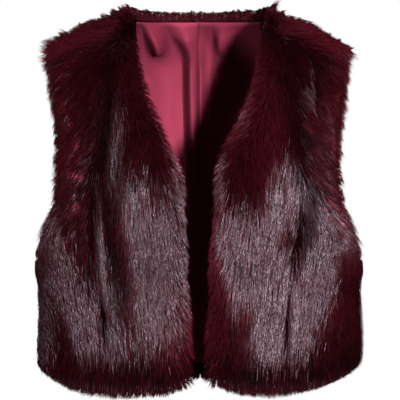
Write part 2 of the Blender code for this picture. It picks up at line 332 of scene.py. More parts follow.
# hair: the OFBake map runs across from dark to light tones, which hold each hair's random tone and also
# painted shade and light, and from root to tip along
pileFinish = {
    "constants": {"Specular IOR Level": 0.92, "IOR": 1.76, "Specular Tint": (1.0, 0.76, 0.90, 1.0)},
    # colour from root to tip: the near-black roots are partly painted shade deep among the hairs
    "rootShadeToTip": (
        (0.00, (0.010, 0.0004, 0.0010)),
        (0.40, (0.040, 0.0016, 0.0042)),
        (0.80, (0.085, 0.0034, 0.0090)),
        (1.00, (0.120, 0.0070, 0.0150)),
    ),
    # ends of the tone ramp: low tones paint shade in the furrows, slit, hem and shoulders, high ones paint
    # light by the neck and the edges
    "darkHairAndShade": (0.06, 0.06, 0.07, 1),
    "lightHairAndPaintedLight": (1.70, 1.70, 1.70, 1),
    "roughRoot": 0.90,
    "roughTip": 0.25,
    "roughFade": 2.2,
    "glossyTo": 0.81,  # lightest tone of a glossy hair
    "mattFrom": 0.84,  # tone past which a hair is dull
    "mattRough": 0.36,
    # painted light: dull hair's colour is lightened, standing in for light coming through thin hair at the
    # outline
    "mattPaintedLight": 1.4,  # share that it is lighter by
    "mattMetal": 0.85,  # tints its shine red
    # hair brushed up shines red
    "redLight": 1.7,
    "redMetal": 0.80,
    # share of the map's height that a hair takes, start of red hair on it, and the line between the two
    "mapLength": 0.495,
    "mapRed": 0.505,
    "mapSplit": 0.5,
    # light and dark dashes along a hair, painted highlight standing in for glints where a wavy hair catches
    # the light, with rougher gaps between: turns root to tip, turns for all tones, share of lightness,
    # roughness
    "glintDash": (5.0, 23.0, 0.50, 0.13),
}


def makePileMaterial():
    material, shader, wire = newMaterial("burgundyPile", pileFinish["constants"])
    hairMap = wire.node("ShaderNodeUVMap", {"uv_map": "OFBake"})
    tone = wire.node("ShaderNodeSeparateXYZ", {}, {0: hairMap})
    rise = Wire(wire.tree, tone.socket.node.outputs[1])
    red = wire.maths("GREATER_THAN", rise, pileFinish["mapSplit"])
    lengthwise = (rise - pileFinish["mapRed"] * red) * (1 / pileFinish["mapLength"])
    body = wire.node("ShaderNodeValToRGB", {"stops": pileFinish["rootShadeToTip"]}, {0: lengthwise})
    shade = tone.mix(pileFinish["darkHairAndShade"], pileFinish["lightHairAndPaintedLight"])
    matt = wire.maths("GREATER_THAN", tone, pileFinish["mattFrom"])
    turns, perTone, lighter, rougher = pileFinish["glintDash"]
    glintDash = wire.maths("SINE", 2 * math.pi * (turns * lengthwise + perTone * tone), 0.0)
    # the glint dashes lighten and darken the colour along each hair: painted highlight
    lit = (1 + pileFinish["mattPaintedLight"] * matt + pileFinish["redLight"] * red) * (1 + lighter * glintDash)
    # base colour: the root-to-tip ramp with its painted shade, the tone with its painted shade and light, and
    # the painted light of dull edge hair and glint dashes
    connect(shader, "Base Color", body.tint(shade).tint(lit))
    fade = (1 - lengthwise) ** pileFinish["roughFade"]
    gloss = pileFinish["roughTip"] + (pileFinish["roughRoot"] - pileFinish["roughTip"]) * fade
    connect(shader, "Roughness", gloss + pileFinish["mattRough"] * matt + rougher * (1 - glintDash))
    connect(shader, "Metallic", pileFinish["mattMetal"] * matt + pileFinish["redMetal"] * red)
    return material


# the dense wool under the hair; its near-black colour is partly painted shade deep in the pile
underfurFinish = {
    "constants": {"Metallic": 0.0, "Specular IOR Level": 0.02},
    "deep": (0.0055, 0.0004, 0.0009, 1),
    "pale": (0.020, 0.0014, 0.0032, 1),
    "stretch": (1.0, 1.0, 0.22),
    "coarse": 240.0,
    "fine": 900.0,
    "coarseShare": 0.6,
    "roughness": (0.85, 0.1),  # least, and what the fine grain adds
    "bump": (0.35, 0.002),
    "bumpCoarse": True,
}

# satin: long floats of thread catch the light across the weave
satinFinish = {
    "constants": {"Metallic": 0.40, "Specular IOR Level": 0.1},
    "deep": (0.42, 0.046, 0.099, 1),
    "pale": (0.58, 0.076, 0.146, 1),
    "stretch": (1.0, 1.0, 0.10),
    "coarse": 60.0,
    "fine": 2600.0,
    "coarseShare": 0.7,
    "roughness": (0.54, 0.16),
    "bump": (0.06, 0.0006),
    "bumpCoarse": False,
}


def makeClothMaterial(name, finish):
    material, shader, wire = newMaterial(name, finish["constants"])
    place = wire.node("ShaderNodeTexCoord", output=3)
    spun = wire.node("ShaderNodeMapping", {}, {0: place, "Scale": finish["stretch"]})
    coarse, fine = (
        wire.node("ShaderNodeTexNoise", {}, {"Vector": spun, "Scale": finish[size]})
        for size in ("coarse", "fine")
    )
    grain = coarse * finish["coarseShare"] + fine * (1 - finish["coarseShare"])
    connect(shader, "Base Color", grain.mix(finish["deep"], finish["pale"]))
    least, more = finish["roughness"]
    connect(shader, "Roughness", least + more * fine)
    strength, distance = finish["bump"]
    height = grain if finish["bumpCoarse"] else fine
    bump = {"Strength": strength, "Distance": distance, "Height": height}
    connect(shader, "Normal", wire.node("ShaderNodeBump", {}, bump))
    return material


pileMaterial = makePileMaterial()
underfurMaterial = makeClothMaterial("burgundyUnderfur", underfurFinish)
satinMaterial = makeClothMaterial("burgundySatin", satinFinish)
print("materials made")


def newPiece(mesh, material, node):
    mesh.materials.append(material)
    piece = bpy.data.objects.new(mesh.name, mesh)
    bpy.context.scene.collection.objects.link(piece)
    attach(piece, "root")
    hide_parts(node)
    return piece


def gridFaces(rows, columns, offset=0):
    index = offset + np.arange(rows * columns).reshape(rows, columns)
    corners = (index[:-1, :-1], index[:-1, 1:], index[1:, 1:], index[1:, :-1])
    return np.stack(corners, axis=-1).reshape(-1, 4)


def rimLoop(rows, columns):  # grid numbers of the edge, in order round it
    index = np.arange(rows * columns).reshape(rows, columns)
    return np.concatenate([index[0, :-1], index[:-1, -1], index[-1, :0:-1], index[:0:-1, 0]])


def shellMesh(name, inside, outside):  # closed wall between two grids
    rows, columns = inside.shape[:2]
    count = rows * columns
    rim = rimLoop(rows, columns)
    ahead = np.roll(rim, -1)
    walls = np.stack([rim, ahead, ahead + count, rim + count], axis=-1)
    faces = np.concatenate([gridFaces(rows, columns)[:, ::-1], gridFaces(rows, columns, count), walls])
    points = np.concatenate([inside.reshape(-1, 3), outside.reshape(-1, 3)])
    mesh = bpy.data.meshes.new(name)
    mesh.from_pydata(points.tolist(), [], faces.tolist())
    mesh.update()
    corner = points[faces]
    spread = np.cross(corner[:, 2] - corner[:, 0], corner[:, 3] - corner[:, 1])
    if (corner.mean(axis=1) * spread).sum() < 0:
        mesh.flip_normals()
    mesh.shade_smooth()
    return mesh


# pile: depth by height, the furrow down each front, overhang at free edges, and the hair itself
pileCut = {
    "count": {"front": 43500, "back": 32500},
    # height, depth of backing and pile
    "depth": (
        (-0.470, 0.0190), (-0.400, 0.0210), (-0.100, 0.0210),
        (-0.055, 0.0230), (-0.030, 0.0235), (0.005, 0.0210),
    ),
    # height, right front, left front, depth of the furrow
    "furrow": (
        (-0.465, 0.116, 0.105, 0.000), (-0.405, 0.118, 0.107, 0.004), (-0.350, 0.121, 0.112, 0.009),
        (-0.295, 0.125, 0.120, 0.011), (-0.240, 0.127, 0.132, 0.011), (-0.195, 0.125, 0.131, 0.010),
        (-0.145, 0.117, 0.122, 0.009), (-0.095, 0.111, 0.113, 0.007), (-0.055, 0.107, 0.108, 0.003),
        (0.000, 0.106, 0.106, 0.000),
    ),
    "furrowHalf": 0.014,
    # share of depth lost at the right and the left shoulder's end, across from and to, reach below the seam
    "shoulderThin": (0.15, 0.26, 0.135, 0.178, 0.035),
    # height, overhang past the edge on the right, on the left
    "frontEdge": (
        (-0.470, 0.012, 0.012), (-0.170, 0.012, 0.011), (-0.130, 0.012, 0.009),
        (-0.100, 0.006, 0.011), (0.000, 0.005, 0.011),
    ),
    "armhole": (
        (-0.300, 0.020, 0.020), (-0.262, 0.021, 0.020), (-0.230, 0.024, 0.021),
        (-0.171, 0.022, 0.019), (-0.130, 0.019, 0.019), (-0.095, 0.019, 0.019),
        (-0.070, 0.022, 0.019), (-0.042, 0.025, 0.023), (-0.028, 0.012, 0.012),
    ),
    # across, overhang at the hem
    "hem": (
        (-0.200, 0.006), (-0.165, 0.010), (-0.130, 0.015), (-0.100, 0.016), (-0.050, 0.012),
        (0.050, 0.012), (0.090, 0.014), (0.125, 0.010), (0.165, 0.005), (0.200, 0.004),
    ),
    "backNeck": 0.0038,
    "seam": 0.030,
    "shoulderTop": 0.0095,
    "underfurShare": 0.42,
    # share of the depth at a hair's root, at its bend at least and at most, and at its tip
    "rootShare": 0.30,
    "midShare": (0.36, 1.04),
    "tipShare": 0.97,
    "underarmShare": (0.92, -0.304, 0.012, 0.030),  # at the bend there, height, reach up and out
    "length": 0.025,
    "lengthSpread": (0.72, 1.18),
    # hair by armholes and shoulders is longer: share, reach from each, heights where the armhole's starts
    "longer": (0.75, 0.030, 0.045, -0.305, -0.260),
    "ridge": 0.015,  # reach of the ridge along the shoulder seam
    "ridgeShort": 0.35,
    "ridgeRise": (0.10, 0.12),  # share of depth that it rises by, and how much tufts differ
    "edgeShort": (0.35, 0.020),  # share of its length that hair loses at the front edge, and reach
    "uneven": 0.03,
    "radius": 0.00038,
    "steps": 8,
    "midStep": 3,
    "seenStep": 5,
    "outPull": 0.35,  # how much hair falls away from the cloth, to one down
    # how far hair swells past the front edges: height, right front, left front
    "frontSwell": (
        (-0.470, 0.010, 0.011), (-0.400, 0.009, 0.008), (-0.310, 0.006, 0.005), (-0.240, 0.006, 0.003),
        (-0.210, 0.007, 0.003), (-0.195, 0.007, 0.006), (-0.175, 0.007, 0.010), (-0.155, 0.008, 0.010),
        (-0.140, 0.0085, 0.005), (-0.120, 0.007, 0.005), (-0.090, 0.005, 0.002), (-0.060, 0.003, 0.000),
        (0.000, 0.002, 0.000),
    ),
    "swellReach": 0.012,
    "swellUp": (0.7, -0.425, -0.455),  # share of the swell that is upwards at the hem, heights from and to
    # how far, height, reach up, and reach in or place across from and to
    "fringeFold": (0.015, -0.190, 0.038, 0.014),  # right front's fringe folds in at the V
    "armSwell": (0.0132, -0.252, 0.036, 0.018),  # outwards above the underarm
    "sideShift": (0.0052, -0.380, 0.058, 0.14, 0.19),  # both sides lean over to the left
    "splitHeight": -0.225,
}


def pileDepth(points, furrowColumn):
    across, height = points[..., 0], points[..., 2]
    right, left, start, end, reach = pileCut["shoulderThin"]
    thin = np.where(across > 0, left, right) * ramp(np.abs(across), start, end)
    thin = thin * bell(shoulderLine(across) - height, reach)
    depth = along(pileCut["depth"], 1, height) * (1 - thin)
    if furrowColumn is None:
        return depth
    aside = np.abs(across) - along(pileCut["furrow"], furrowColumn, height)
    return depth - along(pileCut["furrow"], 3, height) * bell(aside, pileCut["furrowHalf"])


def ripple(spots, size, seed, waves=6):  # soft uneven waves about this far apart
    rng = np.random.default_rng(seed)
    total = np.zeros(len(spots))
    for k in range(waves):
        way = unit(rng.normal(size=3)) * 2 * math.pi / size * rng.uniform(0.6, 1.5)
        total += np.sin(spots @ way + rng.uniform(0, 2 * math.pi))
    return total / waves**0.5


# how the hair is combed: degrees away from straight down, and how steeply its tips lift
combing = {
    "lift": 36.0,
    "flattest": 12.0,
    "backLift": (20.0, 9.0, 0.13, 21),  # degrees, how much it waves, size of the waves, seed
    "patchPower": (2.1, 1.9),  # how sharply a patch ends, across and up
    # patches combed flat, which catch the light:
    # across, height, half width, half height, lean across by height, degrees less
    "flat": (
        (-0.052, -0.325, 0.036, 0.103, 0, 25),  # right front, its middle
        (-0.077, -0.240, 0.017, 0.037, 0, 22),
        (-0.033, -0.309, 0.014, 0.056, 0, 20),
        (-0.107, -0.416, 0.032, 0.013, 0, 25),  # above its hem
        (-0.156, -0.343, 0.013, 0.086, -0.22, 25),  # band down its side
        (-0.184, -0.360, 0.016, 0.095, 0, 22),
        (-0.190, -0.420, 0.014, 0.035, 0, 14),
        (-0.178, -0.095, 0.006, 0.022, 0, 18),  # by the armhole
        (-0.120, -0.280, 0.0046, 0.078, -0.09, 32),  # ridge along the furrow
        (-0.104, -0.290, 0.012, 0.082, -0.05, 6),
        (-0.132, -0.375, 0.014, 0.034, 0, 24),
        (-0.100, -0.365, 0.016, 0.040, 0, 18),
        (-0.101, -0.166, 0.012, 0.061, 0.08, 24),  # streak on the chest
        (-0.017, -0.225, 0.010, 0.044, -0.25, 28),  # fringe of the V
        (-0.034, -0.165, 0.005, 0.030, -0.47, 14),
        (0.068, -0.343, 0.040, 0.091, 0, 23),  # left front, its middle
        (0.049, -0.290, 0.026, 0.042, 0, 26),
        (0.104, -0.240, 0.026, 0.038, 0, 34),
        (0.089, -0.417, 0.028, 0.022, 0, 25),  # above its hem
        (0.141, -0.326, 0.019, 0.076, 0.11, 31),  # band down its side
        (0.175, -0.282, 0.010, 0.025, 0, 17),
        (0.107, -0.309, 0.0040, 0.056, 0.07, 30),  # ridge along the slit
        (0.118, -0.392, 0.009, 0.027, 0, 25),
        (0.131, -0.109, 0.007, 0.016, 0.10, 25),
        (0.026, -0.192, 0.010, 0.046, 0, 27),  # fringe of the V
        (0.055, -0.114, 0.005, 0.045, 0.21, 14),
        (0.027, -0.258, 0.008, 0.030, 0, 16),
        (0.138, -0.268, 0.007, 0.030, 0.10, 22),
        (0.106, -0.216, 0.014, 0.015, 0, 12),
        (0.130, -0.232, 0.008, 0.016, 0.10, 26),
    ),
    # patches brushed up among them, which stay dark: the same with degrees more, then how much darker
    # the hair's tone is made (painted shade; values below zero paint light), and the share of hair missing
    # where it parts
    "raised": (
        # the darker tone paints shade in the furrows and the bands beside them, the slit, partings, hem,
        # lower corner and shoulders; values below zero paint light on the front edges, the V's fringe and
        # beside the neck and the V
        (-0.057, -0.191, 0.029, 0.032, -0.30, 14, 0, 0),  # right front, under the V
        (-0.116, -0.135, 0.0085, 0.076, 0.14, 14, 0.48, 0.90),  # furrow
        (-0.131, -0.258, 0.0074, 0.090, -0.02, 16, 0.44, 1),
        (-0.104, -0.258, 0.012, 0.110, -0.02, 4.5, 0.36, 0),
        (-0.093, -0.350, 0.014, 0.048, 0, 13, 0.32, 0),
        (-0.115, -0.382, 0.0042, 0.024, -0.06, 28, 0.40, 1),
        (-0.012, -0.383, 0.009, 0.081, 0, 3, -0.80, 0),  # front edge
        (-0.029, -0.415, 0.015, 0.030, 0, -3, -0.80, 0),
        (-0.018, -0.218, 0.010, 0.040, -0.25, -4, -0.60, 0),  # fringe of the V
        (-0.080, -0.452, 0.110, 0.024, 0, 24, 0.28, 0),  # hem
        (-0.135, -0.070, 0.050, 0.050, 0, 4, 0.05, 0),  # shoulder
        (-0.152, -0.150, 0.024, 0.050, 0, 11, -0.05, 0),
        (-0.152, -0.215, 0.018, 0.042, 0, 16, 0.12, 0),
        (-0.076, -0.018, 0.020, 0.036, 0, 0, -0.34, 0),  # beside the neck
        (-0.076, -0.085, 0.012, 0.060, -0.34, 0, -0.35, 0),  # beside the V
        (0.051, -0.211, 0.029, 0.042, 0, 22, 0, 0),  # left front, under the V
        (0.121, -0.154, 0.011, 0.079, -0.15, 14, 0.60, 0.95),  # furrow
        (0.1205, -0.284, 0.0115, 0.038, 0.20, 36, 0.75, 1),  # slit
        (0.106, -0.388, 0.0036, 0.028, 0.06, 28, 0.40, 1),
        (0.058, -0.374, 0.013, 0.044, 0, 12, 0.10, 0),
        (0.057, -0.244, 0.011, 0.016, 0, 9, 0, 0),
        (0.102, -0.272, 0.010, 0.024, 0, 13, 0.10, 0),
        (0.020, -0.362, 0.012, 0.098, 0, 15, -0.40, 0),  # front edge
        (0.033, -0.437, 0.027, 0.018, 0, 20, 0.15, 0),
        (0.040, -0.390, 0.010, 0.012, 0, 12, 0.10, 0),
        (0.085, -0.457, 0.120, 0.024, 0, 32, 0.42, 0),  # hem
        (0.172, -0.437, 0.029, 0.025, 0, 14, 0.25, 0),
        (0.128, -0.065, 0.055, 0.050, 0, 4, 0.24, 0),  # shoulder
        (0.152, -0.150, 0.028, 0.055, 0, 14, 0.15, 0),
        (0.158, -0.213, 0.020, 0.036, 0, 18, 0.20, 0),
        (0.076, -0.018, 0.020, 0.036, 0, 0, -0.34, 0),  # beside the neck
        (0.078, -0.130, 0.032, 0.080, 0, -5, -0.60, 0),
        (0.066, -0.085, 0.012, 0.060, 0.18, 0, -0.20, 0),  # beside the V
    ),
    # light and dark streaks: lattice steps in rows and columns and how many are spare, degrees, share of tone
    "streakGrid": ((2.6, 0.26), (40, 4)),
    "streak": (9.5, 0.24),
    "strayLift": 12.5,
    "looseRaised": 0.32,  # share of the streaks and strays that hair brushed up keeps
    "blur": (0.0024, 0.012, 0.4),  # how far a hair may answer to patches aside and above, streaks' share
    "tone": 0.5,
    "toneSpread": 0.18,
    "redShare": 0.85,  # share of hair brushed up that shines red
    "redFrom": (0.45, 0.95),  # how upright it is where that starts, and where the share is full
    # turns: degrees, reach from the edge, and where it starts and is full
    "armholeTurn": (34.0, 0.034, -0.34, -0.26),  # by height
    "sideTurn": (16.0, 0.020, -0.29, -0.31),  # by height
    "neckTurn": (28.0, 0.020, -0.24, -0.15),  # by height
    "shoulderTurn": (68.0, 0.034, 0.070, 0.135),  # by place across
    "neckEase": (0.6, -0.07, -0.015),  # share of the neck's turn lost at the top, heights from and to
    "edgeTurn": (17.0, 0.020),
    "partTurn": (11.0, 1.5, 2.2, 0.008),  # degrees, steepness and reach by half widths, how far above
    "wander": (4.5, 0.070, 5),  # degrees, size, seed
    "stray": 4.2,
}


def edgeGaps(cloth, spots):  # metres in from the front edge, in from the armhole, below the shoulder seam
    ax, height = np.abs(spots[:, 0]), spots[:, 2]
    fromFront = ax - along(giletCut["frontEdge"], 1, height)
    fromArmhole = along(giletCut["armhole"], 1 if cloth["facing"] < 0 else 2, height) - ax
    return fromFront, fromArmhole, shoulderLine(ax) - height


def inPatch(spots, patch):  # place in half widths across a patch and in half heights up it
    across, height, halfWidth, halfHeight, lean = patch[:5]
    up = spots[:, 2] - height
    return (spots[:, 0] - across - lean * up) / halfWidth, up / halfHeight


def patchWeight(spots, patch):  # 1 in the middle of a patch, fading out past its edge
    across, up = inPatch(spots, patch)
    acrossPower, upPower = combing["patchPower"]
    return np.exp(-(np.abs(across) ** acrossPower) - np.abs(up) ** upPower)


def partings():
    return [patch for patch in combing["raised"] if patch[7] > 0]


def partedShare(spots):  # share of hair missing along the partings
    missing = np.zeros(len(spots))
    for patch in partings():
        missing = np.maximum(missing, patch[7] * patchWeight(spots, patch))
    return missing


def partedTurn(spots):  # degrees that hair turns away from a parting beside it
    degrees, steepness, reach, above = combing["partTurn"]
    turn = np.zeros(len(spots))
    for patch in partings():
        across, up = inPatch(spots, patch)
        near = bell(across, reach) * bell(up - above / patch[3], 1)
        turn += degrees * np.clip(steepness * across, -1, 1) * near
    return turn


def turned(edge, gap, place):
    degrees, reach, start, full = combing[edge]
    return degrees * bell(gap, reach) * ramp(place, start, full)


def combTurn(cloth, spots):  # radians towards +X
    x, y, z = spots.T
    edgeGap, sideGap, below = edgeGaps(cloth, spots)
    turn = turned("armholeTurn", sideGap, z) + turned("sideTurn", y, z)
    degrees, reach, *limits = combing["shoulderTurn"]
    turn = turn + (degrees - turn) * bell(below, reach) * ramp(np.abs(x), *limits)
    if cloth["facing"] < 0:
        lost, *limits = combing["neckEase"]
        turn = turn - turned("neckTurn", edgeGap, z) * (1 - lost * ramp(z, *limits))
        degrees, reach = combing["edgeTurn"]
        turn = turn - degrees * bell(edgeGap, reach)
    degrees, size, seed = combing["wander"]
    turn = np.sign(x) * turn + degrees * ripple(spots, size, seed)
    if cloth["facing"] < 0:
        turn = turn + partedTurn(spots)
    return np.radians(turn)


def combLift(spots, facing, streak, stray):  # radians that the visible length rises by, tone, uprightness
    aside, above, streakShare = combing["blur"]
    jitter = aside * stray, 0 * stray, above * (np.roll(stray, 1) + streakShare * streak)
    spots = spots + np.stack(jitter, axis=-1)
    tone = np.full(len(spots), combing["tone"])
    if facing > 0:
        middle, waves, size, seed = combing["backLift"]
        lift = middle + waves * ripple(spots, size, seed)
    else:
        lift = np.full(len(spots), combing["lift"])
        for patch in combing["flat"]:
            lift = lift - patch[5] * patchWeight(spots, patch)
        lift = np.maximum(lift, combing["flattest"])
        for patch in combing["raised"]:
            weight = patchWeight(spots, patch)
            # the tone each patch takes away is painted shade, and painted light where the value is below zero
            lift, tone = lift + patch[5] * weight, tone - patch[6] * weight
    flatness = ramp(lift, combing["lift"], combing["flattest"])
    loose = combing["looseRaised"] + (1 - combing["looseRaised"]) * flatness
    streakLift, streakTone = combing["streak"]
    lift = lift + loose * (combing["strayLift"] * stray + streakLift * streak)
    return np.radians(lift), tone + streakTone * streak, 1 - flatness


# past each kind of edge: share of depth that tips curl in by, share of matt hair (painted lighter),
# raggedness
edgeSet = {
    "hem": (0.10, 0.20, 0.14),
    "frontEdge": (0.05, 0.12, 0.55),
    "backNeck": (0.20, 0.80, 0.50),
    "armhole": (0.06, 0.75, 0.45),
    "seam": (0.0, 0.0, 0.50),
    "curlReach": 0.3,  # share of the overhang where the curl is full
    "mattPast": 0.4,  # share of the overhang past which hair may be matt
    # matt hair here and past the edges is painted lighter, standing in for light through thin hair at the
    # outline
    "ridgeMatt": (0.8, 0.2, 0.7),  # matt share along the shoulders, how near the ridge it starts and is full
    "mattTone": 0.88,
    # tufts: lattice steps in rows and columns, and how many are spare
    "tuftGrid": ((1.3, 1.0), (60, 40)),
    # trim of hair past an edge: how much tufts differ, least and most, longest, shorter at random by
    "trim": (0.5, 0.4, 1.6, 1.10, 1.2),
    "stub": 0.15,  # least share of a trimmed hair that is left
    "stubRoot": (0.08, 1.6),  # how far under its bend a trimmed hair's root comes up to, and how fast
    "stubBend": (0.12, 0.2),  # how far before its tip the bend is, and its least share
}


def overhang(edge, spots, onLeft):  # how far pile reaches past an edge
    hang = pileCut[edge]
    if edge == "hem":
        return along(hang, 1, spots[:, 0])
    if isinstance(hang, tuple):
        return np.where(onLeft, along(hang, 2, spots[:, 2]), along(hang, 1, spots[:, 2]))
    return hang


def edgeCrossed(cloth, row, column):  # overhang, curl, matt share and raggedness of the nearest edge
    lastRow, lastColumn = cloth["points"].shape[0] - 1, cloth["points"].shape[1] - 1
    spots = spotsOn(cloth, row, column)
    onFront = cloth["facing"] < 0
    aboveSeam = spots[:, 2] > giletCut["underarm"]
    atSide = (column >= lastColumn) | ((column <= 0) & (not onFront))
    atTop, atNeck = row >= lastRow, inNeck(spots[:, 0])
    crossings = (  # later ones win
        ("hem", row >= 0),
        ("armhole", atSide & aboveSeam),
        ("seam", atSide & ~aboveSeam & (row > 0)),
        ("frontEdge", (column <= 0) & onFront),
        ("seam", atTop & ~atNeck),
        ("backNeck", atTop & atNeck & (not onFront)),
    )
    facts = np.empty((4, len(row)))
    for edge, crossed in crossings:
        facts[0, crossed] = overhang(edge, spots[crossed], spots[crossed, 0] > 0)
        facts[1:, crossed] = np.array(edgeSet[edge])[:, None]
    return facts


def scatterRoots(cloth, count, rng):  # an even scatter by area
    area = np.linalg.norm(np.cross(cloth["rowStep"], cloth["columnStep"]), axis=-1)[:-1, :-1]
    share = np.cumsum(area.ravel()) / area.sum()
    cell = np.searchsorted(share, (np.arange(count) + rng.random(count)) / count)
    row, column = np.divmod(np.minimum(cell, area.size - 1), area.shape[1])
    return row + rng.random(count), column + rng.random(count)


def walk(cloth, row, column, way):  # moves along the cloth, and gives what is left past its edge
    rowStep, columnStep = lookUp(cloth["rowStep"], row, column), lookUp(cloth["columnStep"], row, column)
    rr, rc, cc = (rowStep * rowStep).sum(1), (rowStep * columnStep).sum(1), (columnStep * columnStep).sum(1)
    wr, wc = (way * rowStep).sum(1), (way * columnStep).sum(1)
    area = rr * cc - rc * rc
    newRow = row + (cc * wr - rc * wc) / area
    newColumn = column + (rr * wc - rc * wr) / area
    lastRow, lastColumn = cloth["points"].shape[0] - 1, cloth["points"].shape[1] - 1
    onRow, onColumn = np.clip(newRow, 0, lastRow), np.clip(newColumn, 0, lastColumn)
    left = rowStep * (newRow - onRow)[:, None] + columnStep * (newColumn - onColumn)[:, None]
    return onRow, onColumn, left


def walkHair(cloth, row, column, length, stray):  # row, column and way past the edge, at each step
    steps = pileCut["steps"]
    pull = np.array([0.0, pileCut["outPull"] * cloth["facing"], -1.0])
    over = np.zeros((len(row), 3))
    stops = [(row, column, over)]
    for step in range(steps):
        normals = normalsOn(cloth, row, column)
        down = unit(pull - normals * (normals @ pull)[:, None])
        across = np.cross(normals, down) * -cloth["facing"]
        turn = (combTurn(cloth, spotsOn(cloth, row, column)) + stray)[:, None]
        way = down * np.cos(turn) + across * np.sin(turn)
        row, column, left = walk(cloth, row, column, way * (length / steps)[:, None])
        over = over + left
        stops.append((row, column, over))
    return stops


def hairSwell(cloth, roots, edgeGap, sideGap):  # how far each tip swells out from the cloth
    across, height = roots[:, 0], roots[:, 2]
    swell = np.zeros(roots.shape)
    if cloth["facing"] < 0:
        out = along(pileCut["frontSwell"], 2 if cloth["side"] > 0 else 1, height)
        out = out * bell(edgeGap, pileCut["swellReach"])
        upShare, *limits = pileCut["swellUp"]
        swell[:, 0] = -cloth["side"] * out
        swell[:, 2] = upShare * out * ramp(height, *limits)
    if cloth["side"] < 0:
        far, at, reach, reachIn = pileCut["fringeFold"]
        swell[:, 1] = far * bell(height - at, reach) * bell(edgeGap, reachIn)
    far, at, reach, reachIn = pileCut["armSwell"]
    swell[:, 0] += np.sign(across) * far * bell(height - at, reach) * bell(sideGap, reachIn)
    far, at, reach, *limits = pileCut["sideShift"]
    swell[:, 0] += far * bell(height - at, reach) * ramp(np.abs(across), *limits)
    return swell


def softNoise(stops, at, steps, spare, rng):  # smooth random values over the cloth, at one of the stops
    size = [int(ends.max() / step) + more for ends, step, more in zip(stops[-1], steps, spare)]
    lattice = rng.normal(size=size)
    return lookUp(lattice, stops[at][0] / steps[0], stops[at][1] / steps[1])


